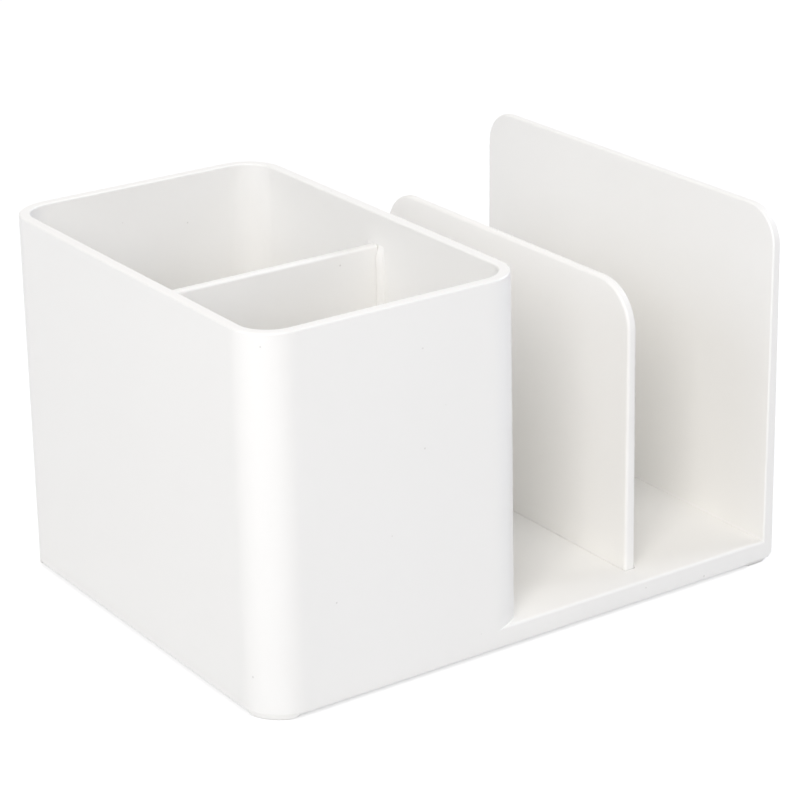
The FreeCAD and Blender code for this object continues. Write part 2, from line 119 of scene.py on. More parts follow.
def add_strips(bm, rows, closed=True):
    """Bands of faces through several rows of points."""
    for lower, upper in zip(rows, rows[1:]):
        add_strip(bm, lower, upper, closed)


def to_object(name, bm, material):
    """A closed mesh with merged corners, as an object at the origin."""
    bmesh.ops.remove_doubles(bm, verts=bm.verts, dist=WELD * MM)
    bmesh.ops.recalc_face_normals(bm, faces=bm.faces)
    mesh = bpy.data.meshes.new(name)
    bm.to_mesh(mesh)
    bm.free()
    mesh.materials.append(material)
    piece = bpy.data.objects.new(name, mesh)
    bpy.context.scene.collection.objects.link(piece)
    return piece


def bake_modifiers(piece):
    """Turn a piece with its modifiers into a plain mesh."""
    evaluated = piece.evaluated_get(bpy.context.evaluated_depsgraph_get())
    mesh = bpy.data.meshes.new_from_object(evaluated)
    piece.modifiers.clear()
    piece.data = mesh


def merge_points(piece):
    """Make points that lie within a thousandth of a millimetre into one."""
    bm = bmesh.new()
    bm.from_mesh(piece.data)
    bmesh.ops.remove_doubles(bm, verts=bm.verts, dist=WELD * MM)
    bmesh.ops.dissolve_degenerate(bm, edges=bm.edges, dist=WELD * MM)
    bm.to_mesh(piece.data)
    bm.free()


def combine(piece, other, operation):
    """Join another solid to a piece, or cut it away, and remove the other one."""
    modifier = piece.modifiers.new("combine", "BOOLEAN")
    modifier.operation = operation
    modifier.object = other
    modifier.solver = "EXACT"
    bake_modifiers(piece)
    merge_points(piece)
    bpy.data.objects.remove(other)


def shade(piece):
    """Smooth shading up to an angle, with each corner's normal taken mostly from its large faces."""
    piece.data.shade_smooth()
    piece.data.set_sharp_from_angle(angle=math.radians(35))
    weighted = piece.modifiers.new("weighted", "WEIGHTED_NORMAL")
    weighted.mode = "FACE_AREA"
    weighted.keep_sharp = True
    bake_modifiers(piece)


def soften(piece, width):
    """Round the sharp edges that are left, then shade by face size, so that flat faces stay flat."""
    bevel = piece.modifiers.new("soften", "BEVEL")
    bevel.width = width * MM
    bevel.segments = 2
    bevel.limit_method = "ANGLE"
    bevel.angle_limit = math.radians(50)
    bevel.miter_outer = "MITER_ARC"
    bevel.use_clamp_overlap = True
    bake_modifiers(piece)
    merge_points(piece)
    shade(piece)


def linear(code):
    """A colour written as sRGB hex, as the linear values that a shader takes."""
    channels = [int(code[place:place + 2], 16) / 255 for place in (1, 3, 5)]
    return [
        value / 12.92 if value <= 0.04045 else ((value + 0.055) / 1.055) ** 2.4
        for value in channels
    ] + [1.0]


def add_node(tree, kind, settings=None, links=None, **properties):
    """A node with its properties, the values of its sockets and the links into it."""
    node = tree.nodes.new(kind)
    for name, value in properties.items():
        setattr(node, name, value)
    for name, value in (settings or {}).items():
        node.inputs[name].default_value = value
    for name, source in (links or {}).items():
        tree.links.new(source, node.inputs[name])
    return node


def new_material(name):
    """An empty material, its tree, its output node and the piece's own coordinates in metres."""
    material = bpy.data.materials.new(name)
    material.use_nodes = True
    tree = material.node_tree
    tree.nodes.clear()
    output = add_node(tree, "ShaderNodeOutputMaterial")
    place = add_node(tree, "ShaderNodeTexCoord").outputs["Object"]
    return material, tree, output, place


# Sizes of the marks that moulding leaves: the drift of the melt, the cells that may hold a speck
# of dust, the patches of the tool's polish, and the slow waves where the plastic sank as it cooled.
MELT_DRIFT = 38.0
SPECK_CELL = 3.5
POLISH_PATCH = 14.0
SINK_WAVE = 30.0
SINK_DEPTH = 0.03


def moulded_plastic(name, colour, deep_colour, roughness, spread, grain, grain_depth):
    """A pigmented moulded plastic: a slow drift of colour from the flow of the melt, a gloss that
    varies with the tool's polish, a fine skin, and a few specks of dust in the pigment."""
    material, tree, output, place = new_material(name)
    drift = add_node(
        tree, "ShaderNodeTexNoise",
        {"Scale": 1 / (MELT_DRIFT * MM), "Detail": 2.0, "Roughness": 0.45}, {"Vector": place},
    )
    body = add_node(
        tree, "ShaderNodeMix", {"A": linear(deep_colour), "B": linear(colour)},
        {"Factor": drift.outputs["Fac"]}, data_type="RGBA",
    )
    cells = add_node(tree, "ShaderNodeTexVoronoi", {"Scale": 1 / (SPECK_CELL * MM)}, {"Vector": place})
    chance = add_node(tree, "ShaderNodeSeparateColor", {}, {"Color": cells.outputs["Color"]})
    size = add_node(
        tree, "ShaderNodeMapRange", {"From Min": 0.86, "From Max": 1.0, "To Min": 0.0, "To Max": 0.1},
        {"Value": chance.outputs["Red"]},
    )
    speck = add_node(
        tree, "ShaderNodeMath", {}, {0: cells.outputs["Distance"], 1: size.outputs["Result"]},
        operation="LESS_THAN",
    )
    shown = add_node(
        tree, "ShaderNodeMath", {1: 0.24}, {0: speck.outputs["Value"]}, operation="MULTIPLY",
    )
    tinted = add_node(
        tree, "ShaderNodeMix", {"B": linear("#8f8a82")},
        {"Factor": shown.outputs["Value"], "A": body.outputs["Result"]}, data_type="RGBA",
    )
    polish = add_node(
        tree, "ShaderNodeTexNoise",
        {"Scale": 1 / (POLISH_PATCH * MM), "Detail": 4.0, "Roughness": 0.6}, {"Vector": place},
    )
    gloss = add_node(
        tree, "ShaderNodeMapRange",
        {"From Min": 0.3, "From Max": 0.7, "To Min": roughness - spread, "To Max": roughness + spread},
        {"Value": polish.outputs["Fac"]},
    )
    fine = add_node(
        tree, "ShaderNodeTexNoise", {"Scale": 1 / (grain * MM), "Detail": 2.0}, {"Vector": place},
    )
    sink = add_node(
        tree, "ShaderNodeTexNoise", {"Scale": 1 / (SINK_WAVE * MM), "Detail": 1.0}, {"Vector": place},
    )
    waves = add_node(
        tree, "ShaderNodeBump", {"Strength": 1.0, "Distance": SINK_DEPTH * MM},
        {"Height": sink.outputs["Fac"]},
    )
    skin = add_node(
        tree, "ShaderNodeBump", {"Strength": 1.0, "Distance": grain_depth * MM},
        {"Height": fine.outputs["Fac"], "Normal": waves.outputs["Normal"]},
    )
    surface = add_node(
        tree, "ShaderNodeBsdfPrincipled", {"IOR": 1.53},
        {"Base Color": tinted.outputs["Result"], "Roughness": gloss.outputs["Result"],
         "Normal": skin.outputs["Normal"]},
    )
    tree.links.new(surface.outputs["BSDF"], output.inputs["Surface"])
    return material


# Gloss white ABS: a clean, very slightly warm white with a soft sheen, not a mirror. The skin's
# real grain is too fine to show, so it is drawn coarser here and on the other plastics.
white_abs = moulded_plastic(
    "white_abs_gloss_moulded", "#fbfaf7", "#f9f8f5",
    roughness=0.34, spread=0.05, grain=1.1, grain_depth=0.0012,
)


def front_recess(angle, radius):
    """How far a wall's rounded corner has turned in from the front face."""
    return radius * (1 - math.cos(angle))


def deck_angle(recess):
    """The angle on the deck's rounded edge at a distance in from the front face, from its start."""
    return math.acos(1 - min(recess, DECK_ROUND) / DECK_ROUND)


def deck_point(x, angle, end):
    """A place on the deck's rounded front edge (end -1) or back edge (end 1)."""
    start = DECK - DECK_ROUND
    inset = lean(start) + DECK_ROUND * (1 - math.cos(angle))
    return (x, end * (BACK - inset), start + DECK_ROUND * math.sin(angle))


def foot_of(point, end):
    """Bring a point at the foot of a wall down on to the deck or on to its rounded edge."""
    recess = BACK - lean(DECK - DECK_ROUND) - end * point[1]
    if recess >= DECK_ROUND:
        return (point[0], point[1], DECK)
    return deck_point(point[0], deck_angle(max(recess, 0.0)), end)


edge_height = DECK - DECK_ROUND
straight_end = BOX_RIGHT - lean(edge_height) - BOX_CORNER
panel_start = PANEL_LEFT + lean(edge_height)
cut_angle = deck_angle(PANEL_ROUND)
full_rows = [cut_angle * step / DECK_STEPS for step in range(DECK_STEPS + 1)] + [math.pi / 2]

# Columns of the deck's rounded edge: x, and the angle that the edge reaches there. They start
# where the pen box's round corner leaves the front face and end inside the end panel's edge.
columns = []
for angle in sweep(0, 90, ARC_STEPS):
    recess = front_recess(angle, BOX_CORNER)
    columns.append((straight_end + BOX_CORNER * math.sin(angle), deck_angle(recess)))
    if recess > DECK_ROUND:
        break
panel_arc = [
    (panel_start + PANEL_ROUND * (1 - math.cos(angle)), PANEL_ROUND * (1 - math.sin(angle)))
    for angle in sweep(0, 90, ROUND_STEPS)
]


def base_ring(inset, height, right_bevel=0.0):
    """The outline of the base at a height, with a corner wherever another face starts."""
    side = inset + lean(height)
    left, right = LEFT + side, RIGHT - side - right_bevel
    front, back = FRONT + side, BACK - side
    corner, small = BOX_CORNER - inset, PANEL_ROUND - inset
    xs = [x for x, angle in columns] + [x for x, recess in panel_arc]
    ring = level_arc(left + corner, front + corner, corner, 180, 270, ARC_STEPS, height)
    ring += [(x, front, height) for x in xs]
    ring += level_arc(right - small, front + small, small, -90, 0, ROUND_STEPS, height)
    ring += level_arc(right - small, back - small, small, 0, 90, ROUND_STEPS, height)
    ring += [(x, back, height) for x in reversed(xs)]
    ring += level_arc(left + corner, back - corner, corner, 90, 180, ARC_STEPS, height)
    return ring


def panel_ring(inset, x_at, foot, top, corner, half_depth):
    """The edge of an upright panel: up its front, over its top and down its back."""
    side = [(half_depth - lean(foot) - inset, foot)]
    reach = corner - inset
    for angle in sweep(0, 90, ARC_STEPS):
        y = half_depth - lean(top) - corner + reach * math.cos(angle)
        side.append((y, top - corner + reach * math.sin(angle)))
    return [(x_at(z), -y, z) for y, z in side] + [(x_at(z), y, z) for y, z in reversed(side)]


def panel_rings(left, right, rounding, foot, top, corner, half_depth):
    """Rows of points from the left face of a panel round its edge to its right face."""
    rows = []
    halves = ((left, 1, sweep(0, 90, ROUND_STEPS)), (right, -1, sweep(90, 0, ROUND_STEPS)))
    for face, side, turns in halves:
        for turn in turns:
            place = face + side * rounding * (1 - math.cos(turn))
            rows.append(panel_ring(
                rounding * (1 - math.sin(turn)), lambda z, x=place, s=side: x + s * lean(z),
                foot, top, corner, half_depth,
            ))
    return rows


# The skirt from its rounded lower edge up to the deck's edge, with a bevel of 45 degrees low on
# its right side.
bm = bmesh.new()
bevel_low = SKIRT_EDGE + SKIRT_ROUND
skirt = [
    base_ring(
        SKIRT_ROUND * (1 - math.sin(angle)), SKIRT_EDGE + SKIRT_ROUND * (1 - math.cos(angle)),
        RIGHT_BEVEL,
    )
    for angle in sweep(0, 90, SKIRT_STEPS)
]
skirt += [
    base_ring(0, bevel_low + RIGHT_BEVEL * rise, RIGHT_BEVEL * (1 - rise))
    for rise in (0.5, 0.9, 1.0)
]
skirt.append(base_ring(0, edge_height))
add_strips(bm, skirt)
add_face(bm, list(reversed(skirt[0])))

# The pen box: up the outside from the deck, over the rim and down the inside to the floor.
wall_top = RIM - RIM_ROUND
corner_count = ARC_STEPS + 1
foot = []
for index, point in enumerate(box_ring(lean(edge_height), BOX_CORNER, edge_height)):
    if index < corner_count:
        point = foot_of(point, -1)
    elif index < 2 * corner_count:
        point = foot_of(point, 1)
    foot.append(point)
cavity_inset = 2 * lean(RIM) + BOX_WALL
inside_corner = BOX_CORNER - BOX_WALL
rows = [foot, box_ring(lean(wall_top), BOX_CORNER, wall_top)]
for angle in sweep(0, 90, ROUND_STEPS)[1:]:
    turned_in = RIM_ROUND * (1 - math.cos(angle))
    rows.append(box_ring(
        lean(RIM) + turned_in, BOX_CORNER - turned_in, wall_top + RIM_ROUND * math.sin(angle),
    ))
for angle in sweep(90, 0, ROUND_STEPS):
    turned_in = RIM_ROUND * (1 - math.cos(angle))
    rows.append(box_ring(
        cavity_inset - lean(RIM) - turned_in, inside_corner + turned_in,
        wall_top + RIM_ROUND * math.sin(angle),
    ))
for angle in sweep(0, 90, ROUND_STEPS + 1):
    turned_in = FLOOR_FILLET * (1 - math.cos(angle))
    rows.append(box_ring(
        cavity_inset - lean(DECK) + turned_in, inside_corner - turned_in,
        DECK + FLOOR_FILLET * (1 - math.sin(angle)),
    ))
add_strips(bm, rows)
add_face(bm, rows[-1])

# The deck's rounded front and back edges, with the corner left where the pen box stands on them.
last = len(columns) - 1
mirrored = 2 * corner_count - 1
for end in (-1, 1):
    grid = [
        [deck_point(x, row * reach / (math.pi / 2), end) for row in full_rows]
        for x, reach in columns
    ]
    grid.append([deck_point(panel_start, row, end) for row in full_rows])
    add_strips(bm, grid, closed=False)
    on_edge, on_deck = (last - 1, last) if end < 0 else (mirrored - last + 1, mirrored - last)
    add_face(bm, [foot[on_edge], foot[on_deck], deck_point(columns[-1][0], math.pi / 2, end)])
    grid = [
        [deck_point(x, row * deck_angle(recess) / cut_angle, end) for row in full_rows[:-1]]
        for x, recess in panel_arc
    ]
    add_strips(bm, grid, closed=False)

# The end panel, whose foot follows the deck's rounded edge, and then the flat of the deck.
panel = panel_rings(PANEL_LEFT, RIGHT, PANEL_ROUND, edge_height, RIM, PANEL_CORNER, BACK)
for row, (x, recess) in zip(panel, panel_arc):
    row[0] = foot_of((x, FRONT + lean(edge_height) + recess, 0), -1)
    row[-1] = foot_of((x, BACK - lean(edge_height) - recess, 0), 1)
add_strips(bm, panel, closed=False)
add_face(bm, panel[-1])
panel_foot = [deck_point(panel_start, math.pi / 2, 1), deck_point(panel_start, math.pi / 2, -1)]
add_face(bm, panel[0] + panel_foot)
wall_foot = foot[last:mirrored + 1 - last]
deck_corners = [(columns[-1][0], -1), (panel_start, -1), (panel_start, 1), (columns[-1][0], 1)]
deck_edge = [deck_point(x, math.pi / 2, end) for x, end in deck_corners]
add_face(bm, list(reversed(wall_foot)) + deck_edge)
organizer = to_object("organizer_body_moulding", bm, white_abs)


# Four upright ribs on the inside of the pen box hold the divider. They are part of the moulding,
# so they are joined to it. Each is steep beside the divider and falls away roundly from it.
RIB_PROUD = 1.2
RIB_WIDTH = 2.5
RIB_TOP = 96.0
RIB_ROOT = 1.0
RIB_LEAD_IN = 3.0
RIB_TOP_SHARE = 0.1
RIB_GAP = 0.08
DIVIDER_THICKNESS = 3.0


def new_tree(name, inputs):
    """An empty geometry tree with named inputs, and its nodes for what goes in and comes out."""
    tree = bpy.data.node_groups.new(name, "GeometryNodeTree")
    tree.interface.new_socket(name="Geometry", in_out="INPUT", socket_type="NodeSocketGeometry")
    for title, kind in inputs.items():
        tree.interface.new_socket(name=title, in_out="INPUT", socket_type=kind)
    tree.interface.new_socket(name="Geometry", in_out="OUTPUT", socket_type="NodeSocketGeometry")
    return tree, add_node(tree, "NodeGroupInput"), add_node(tree, "NodeGroupOutput")


def finish_tree(tree, given, result, copies):
    """End a tree: make its copies real, give them its material and send them out."""
    real = add_node(tree, "GeometryNodeRealizeInstances", {}, {"Geometry": copies.outputs["Instances"]})
    coated = add_node(
        tree, "GeometryNodeSetMaterial", {},
        {"Geometry": real.outputs["Geometry"], "Material": given.outputs["Material"]},
    )
    tree.links.new(coated.outputs["Geometry"], result.inputs["Geometry"])


def grow(name, places, tree, values):
    """A plain mesh made by a geometry tree on a point at each place, given in millimetres."""
    mesh = bpy.data.meshes.new(name)
    mesh.from_pydata([Vector(place) * MM for place in places], [], [])
    piece = bpy.data.objects.new(name, mesh)
    bpy.context.scene.collection.objects.link(piece)
    modifier = piece.modifiers.new(name, "NODES")
    modifier.node_group = tree
    for item in tree.interface.items_tree:
        if item.in_out == "INPUT" and item.name in values:
            modifier[item.identifier] = values[item.name]
    bake_modifiers(piece)
    return piece


# A rib is half an ellipse drawn up a line and thinned over its lead-in. Its flat side faces the
# divider, so the ribs in front of the divider are turned half round.
tree, given, result = new_tree("guide_ribs", {
    "Section": "NodeSocketVector", "Height": "NodeSocketFloat", "Lead In": "NodeSocketFloat",
    "Material": "NodeSocketMaterial",
})
arc = add_node(tree, "GeometryNodeCurveArc", {
    "Resolution": 25, "Radius": 1.0, "Start Angle": 0.0, "Sweep Angle": math.pi,
})
closed_arc = add_node(
    tree, "GeometryNodeSetSplineCyclic", {"Cyclic": True}, {"Geometry": arc.outputs["Curve"]},
)
section = add_node(
    tree, "GeometryNodeTransform", {},
    {"Geometry": closed_arc.outputs["Geometry"], "Scale": given.outputs["Section"]},
)
top = add_node(tree, "ShaderNodeCombineXYZ", {}, {"Z": given.outputs["Height"]})
rail = add_node(
    tree, "GeometryNodeCurvePrimitiveLine", {"Start": (0, 0, 0)}, {"End": top.outputs["Vector"]},
)
steps = add_node(tree, "GeometryNodeResampleCurve", {"Count": 61}, {"Curve": rail.outputs["Curve"]})
bar = add_node(
    tree, "GeometryNodeCurveToMesh", {"Fill Caps": True},
    {"Curve": steps.outputs["Curve"], "Profile Curve": section.outputs["Geometry"]},
)
position = add_node(tree, "GeometryNodeInputPosition")
spot = add_node(tree, "ShaderNodeSeparateXYZ", {}, {"Vector": position.outputs["Position"]})
slope_start = add_node(
    tree, "ShaderNodeMath", {}, {0: given.outputs["Height"], 1: given.outputs["Lead In"]},
    operation="SUBTRACT",
)
proud = add_node(
    tree, "ShaderNodeMapRange", {"To Min": 1.0, "To Max": RIB_TOP_SHARE},
    {"Value": spot.outputs["Z"], "From Min": slope_start.outputs["Value"],
     "From Max": given.outputs["Height"]}, interpolation_type="SMOOTHSTEP",
)
drawn_in = add_node(
    tree, "ShaderNodeMath", {}, {0: spot.outputs["X"], 1: proud.outputs["Result"]},
    operation="MULTIPLY",
)
sloped = add_node(
    tree, "ShaderNodeCombineXYZ", {},
    {"X": drawn_in.outputs["Value"], "Y": spot.outputs["Y"], "Z": spot.outputs["Z"]},
)
moved = add_node(
    tree, "GeometryNodeSetPosition", {},
    {"Geometry": bar.outputs["Mesh"], "Position": sloped.outputs["Vector"]},
)
in_front = add_node(
    tree, "ShaderNodeMath", {1: 0.0}, {0: spot.outputs["Y"]}, operation="LESS_THAN",
)
half_turn = add_node(
    tree, "ShaderNodeMath", {1: math.pi}, {0: in_front.outputs["Value"]}, operation="MULTIPLY",
)
facing = add_node(tree, "ShaderNodeCombineXYZ", {}, {"Z": half_turn.outputs["Value"]})
copies = add_node(
    tree, "GeometryNodeInstanceOnPoints", {},
    {"Points": given.outputs["Geometry"], "Instance": moved.outputs["Geometry"],
     "Rotation": facing.outputs["Vector"]},
)
finish_tree(tree, given, result, copies)

rib_inset = cavity_inset - lean(RIM)
rib_y = DIVIDER_THICKNESS / 2 + RIB_GAP
rib_places = [
    (x, y, DECK - RIB_ROOT)
    for x in (LEFT + rib_inset, BOX_RIGHT - rib_inset)
    for y in (-rib_y, rib_y)
]
ribs = grow("guide_ribs", rib_places, tree, {
    "Section": Vector((RIB_PROUD * MM, RIB_WIDTH * MM, 1.0)),
    "Height": (RIB_TOP - DECK + RIB_ROOT) * MM, "Lead In": RIB_LEAD_IN * MM, "Material": white_abs,
})
combine(organizer, ribs, "UNION")


# Under the deck the moulding is a hollow shell: a recess takes the base cover, a ledge carries it,
# four bosses take its screws, and each corner has a seat and a socket for a foot. A slot through
# the deck lets the middle panel up.
DECK_UNDERSIDE = 4.6
SKIRT_WALL = 3.0
LEDGE = 2.8
LEDGE_WIDTH = 1.5
BOSS_RADIUS = 3.5
SCREW_INSET = 18.0
SCREW_HOLE_RADIUS = 1.3
SCREW_HOLE_TOP = 5.9
BLADE_LEFT, BLADE_RIGHT = 37.5, 41.1
BLADE_BACK = 58.0
BLADE_GAP = 0.08
FOOT_LENGTH = 10.0
FOOT_TOP = 1.7
PEG_INSET = 6.0
SOCKET_RADIUS = 1.55
SOCKET_TOP = 4.6
OVERLAP = 1.0
CORNERS = (
    (-1, -1, "front_left"), (1, -1, "front_right"), (-1, 1, "back_left"), (1, 1, "back_right"),
)


def prism(bm, outline, low, high):
    """A straight-sided solid over a level outline."""
    rows = [[(x, y, z) for x, y in outline] for z in (low, high)]
    add_strips(bm, rows)
    add_face(bm, rows[0])
    add_face(bm, rows[1])


def rectangle(left, right, front, back):
    """The four corners of a level rectangle."""
    return [(left, front), (right, front), (right, back), (left, back)]


def disc(x, y, radius, steps=32):
    """Points round a level circle."""
    return [(x + radius * math.cos(a), y + radius * math.sin(a)) for a in sweep(0, 360, steps)[:-1]]


def cross_outline(side_inset, corner_inset):
    """The base inside its skirt with its four corners left out."""
    far_x, far_y = RIGHT - side_inset, BACK - side_inset
    near_x, near_y = RIGHT - corner_inset, BACK - corner_inset
    outline = []
    for x_side, y_side in ((1, 1), (-1, 1), (-1, -1), (1, -1)):
        notch = [(far_x, near_y), (near_x, near_y), (near_x, far_y)]
        if x_side != y_side:
            notch.reverse()
        outline += [(x_side * x, y_side * y) for x, y in notch]
    return outline


def at_corners(inset):
    """The four places in from the outside faces by the same distance."""
    return [(x_side * (RIGHT - inset), y_side * (BACK - inset)) for x_side, y_side, corner in CORNERS]


def solid(outlines, low, high):
    """One or more straight-sided solids over level outlines, to join or to cut away."""
    bm = bmesh.new()
    for outline in outlines:
        prism(bm, outline, low, high)
    return to_object("cutter", bm, white_abs)


def hollow(outlines, low, high):
    """Cut straight-sided spaces out of the moulding."""
    combine(organizer, solid(outlines, low, high), "DIFFERENCE")


hollow([cross_outline(SKIRT_WALL, FOOT_LENGTH)], 0, LEDGE)
inside_ledge = cross_outline(SKIRT_WALL + LEDGE_WIDTH, FOOT_LENGTH + LEDGE_WIDTH)
hollow([inside_ledge], LEDGE - OVERLAP, DECK_UNDERSIDE)
bosses = [disc(x, y, BOSS_RADIUS) for x, y in at_corners(SCREW_INSET)]
combine(organizer, solid(bosses, LEDGE, DECK_UNDERSIDE + OVERLAP), "UNION")
screw_holes = [disc(x, y, SCREW_HOLE_RADIUS) for x, y in at_corners(SCREW_INSET)]
hollow(screw_holes, LEDGE - OVERLAP, SCREW_HOLE_TOP)
slot = rectangle(
    BLADE_LEFT - BLADE_GAP, BLADE_RIGHT + BLADE_GAP,
    -BLADE_BACK - BLADE_GAP, BLADE_BACK + BLADE_GAP,
)
hollow([slot], LEDGE, DECK + OVERLAP)
seats = [
    rectangle(
        *sorted((x_side * (RIGHT - FOOT_LENGTH), x_side * (RIGHT + OVERLAP))),
        *sorted((y_side * (BACK - FOOT_LENGTH), y_side * (BACK + OVERLAP))),
    )
    for x_side, y_side, corner in CORNERS
]
hollow(seats, -OVERLAP, FOOT_TOP)
sockets = [disc(x, y, SOCKET_RADIUS) for x, y in at_corners(PEG_INSET)]
hollow(sockets, FOOT_TOP - OVERLAP, SOCKET_TOP)
soften(organizer, width=0.2)
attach(organizer, "organizer")
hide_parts("organizer_body")


# The middle panel is a second white moulding. Its blade stands up through a slot in the deck from
# a flat flange that stays below, so only the blade and a fine gap round its foot can be seen.
BLADE_TOP = 90.0
BLADE_CORNER = 13.0
BLADE_ROUND = 0.9
FLANGE_PROUD = 6.2
FLANGE_BACK = 61.2
bm = bmesh.new()
blade = panel_rings(BLADE_LEFT, BLADE_RIGHT, BLADE_ROUND, LEDGE, BLADE_TOP, BLADE_CORNER, BLADE_BACK)
add_strips(bm, blade)
add_face(bm, blade[0])
add_face(bm, blade[-1])
middle_panel = to_object("middle_panel_moulding", bm, white_abs)
flange = rectangle(BLADE_LEFT - FLANGE_PROUD, BLADE_RIGHT + FLANGE_PROUD, -FLANGE_BACK, FLANGE_BACK)
combine(middle_panel, solid([flange], LEDGE, DECK_UNDERSIDE), "UNION")
shade(middle_panel)
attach(middle_panel, "organizer")
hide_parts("middle_panel")


# The divider is a loose white plate that slides down between the guide ribs. Its top edge is the
# rounder one, and its bottom corners are cut off to clear the fillet of the floor.
DIVIDER_BOTTOM = 7.3
DIVIDER_CUT = 2.6
DIVIDER_GAP = 0.3
DIVIDER_TOP_ROUND = 0.8
DIVIDER_SIDE_ROUND = 0.3


def edge_drop(y, radius):
    """How far a rounded edge has dropped at a distance from the middle of the plate."""
    past = max(abs(y) - (DIVIDER_THICKNESS / 2 - radius), 0.0)
    return radius - math.sqrt(max(radius ** 2 - past ** 2, 0.0))


def divider_ring(y):
    """The outline of the divider at a distance from its middle."""
    side_drop = edge_drop(y, DIVIDER_SIDE_ROUND)
    bottom, cut = DIVIDER_BOTTOM + side_drop, DIVIDER_BOTTOM + DIVIDER_CUT
    top = RIB_TOP - edge_drop(y, DIVIDER_TOP_ROUND)
    left = LEFT + cavity_inset + DIVIDER_GAP + side_drop
    right = BOX_RIGHT - cavity_inset - DIVIDER_GAP - side_drop
    return [
        (left - lean(bottom) + DIVIDER_CUT, y, bottom), (right + lean(bottom) - DIVIDER_CUT, y, bottom),
        (right + lean(cut), y, cut), (right + lean(top), y, top),
        (left - lean(top), y, top), (left - lean(cut), y, cut),
    ]


depths = [-1.5, -1.46, -1.38, -1.28, -1.2, -1.05, -0.9, -0.7]
rows = [divider_ring(y) for y in depths + [-y for y in reversed(depths)]]
bm = bmesh.new()
add_strips(bm, rows)
add_face(bm, rows[0])
add_face(bm, rows[-1])
divider = to_object("pen_divider_plate", bm, white_abs)
shade(divider)
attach(divider, "divider")
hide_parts("pen_divider")


# The base cover is a thin plate of the same plastic with a spark-eroded, matt face. It lies in the
# recess under the moulding, notched round the feet, and four countersunk screws hold it.
COVER_LOW = 1.4
COVER_GAP = 0.3
COUNTERSINK_RADIUS = 2.45
COUNTERSINK_DEPTH = 1.15

# Matt white ABS: the eroded face scatters the light, so it has no sheen and looks a shade greyer.
matt_abs = moulded_plastic(
    "white_abs_matt_underside", "#ecebe8", "#e8e6e2",
    roughness=0.62, spread=0.06, grain=0.55, grain_depth=0.02,
)


def countersink(x, y):
    """A cone under a screw's head, with a little more below it and the shank's hole above it."""
    cone_top = COVER_LOW + COUNTERSINK_DEPTH
    steps = (
        (COUNTERSINK_RADIUS, COVER_LOW - OVERLAP), (COUNTERSINK_RADIUS, COVER_LOW),
        (SCREW_HOLE_RADIUS, cone_top), (SCREW_HOLE_RADIUS, cone_top + OVERLAP),
    )
    rows = [[(px, py, z) for px, py in disc(x, y, radius)] for radius, z in steps]
    bm = bmesh.new()
    add_strips(bm, rows)
    add_face(bm, rows[0])
    add_face(bm, rows[-1])
    return to_object("cutter", bm, matt_abs)


bm = bmesh.new()
prism(bm, cross_outline(SKIRT_WALL + COVER_GAP, FOOT_LENGTH + COVER_GAP), COVER_LOW, LEDGE)
cover = to_object("base_cover_plate", bm, matt_abs)
for x, y in at_corners(SCREW_INSET):
    combine(cover, countersink(x, y), "DIFFERENCE")
soften(cover, width=0.15)
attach(cover, "organizer")
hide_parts("base_cover")


# Four small self-tapping screws with countersunk cross-recess heads. They are plated steel, and
# each was driven home to its own angle.
HEAD_RADIUS = 2.4
HEAD_FACE_RADIUS = 2.25
HEAD_EDGE = 0.12
HEAD_HEIGHT = 1.15
THREAD_RADIUS = 1.25
THREAD_ROOT = 0.95
THREAD_START = 1.3
THREAD_PITCH = 0.5
THREAD_TURNS = 5
TIP_RADIUS = 0.8
TIP_START = 3.85
SCREW_LENGTH = 4.2
SCREW_STEPS = 40
CROSS_REACH = 1.3
CROSS_HALF_WIDTH = 0.3
CROSS_DEPTH = 0.8
CROSS_TAPER = 0.62
PLATING_STREAK = 0.5

# Zinc plating over steel: a cool light grey with faint streaks, and a gloss that is never a mirror.
zinc, tree, output, place = new_material("zinc_plated_steel")
streaks = add_node(
    tree, "ShaderNodeTexNoise", {"Scale": 1 / (PLATING_STREAK * MM), "Detail": 3.0}, {"Vector": place},
)
plating = add_node(
    tree, "ShaderNodeMix", {"A": linear("#b9bcbf"), "B": linear("#cfd1d2")},
    {"Factor": streaks.outputs["Fac"]}, data_type="RGBA",
)
gloss = add_node(
    tree, "ShaderNodeMapRange", {"To Min": 0.24, "To Max": 0.42}, {"Value": streaks.outputs["Fac"]},
)
surface = add_node(
    tree, "ShaderNodeBsdfPrincipled", {"Metallic": 1.0},
    {"Base Color": plating.outputs["Result"], "Roughness": gloss.outputs["Result"]},
)
tree.links.new(surface.outputs["BSDF"], output.inputs["Surface"])

profile = [
    (0.0, 0.0), (HEAD_FACE_RADIUS, 0.0), (HEAD_RADIUS, HEAD_EDGE), (THREAD_RADIUS, HEAD_HEIGHT),
]
for turn in range(THREAD_TURNS):
    height = THREAD_START + THREAD_PITCH * turn
    profile += [
        (THREAD_ROOT, height + 0.2 * THREAD_PITCH), (THREAD_RADIUS, height + 0.5 * THREAD_PITCH),
        (THREAD_ROOT, height + 0.8 * THREAD_PITCH),
    ]
profile += [(TIP_RADIUS, TIP_START), (0.0, SCREW_LENGTH)]
bm = bmesh.new()
rows = [level_arc(0, 0, radius, 0, 360, SCREW_STEPS, z)[:-1] for radius, z in profile]
add_strips(bm, rows)
screw = to_object("screw", bm, zinc)
bm = bmesh.new()
arm, slim = CROSS_REACH, CROSS_HALF_WIDTH
plan = [
    (arm, -slim), (arm, slim), (slim, slim), (slim, arm), (-slim, arm), (-slim, slim),
    (-arm, slim), (-arm, -slim), (-slim, -slim), (-slim, -arm), (slim, -arm), (slim, -slim),
]
low_row = [(x, y, -OVERLAP / 2) for x, y in plan]
face_row = [(x, y, 0.0) for x, y in plan]
deep_row = [(x * CROSS_TAPER, y * CROSS_TAPER, CROSS_DEPTH) for x, y in plan]
add_strips(bm, [low_row, face_row, deep_row])
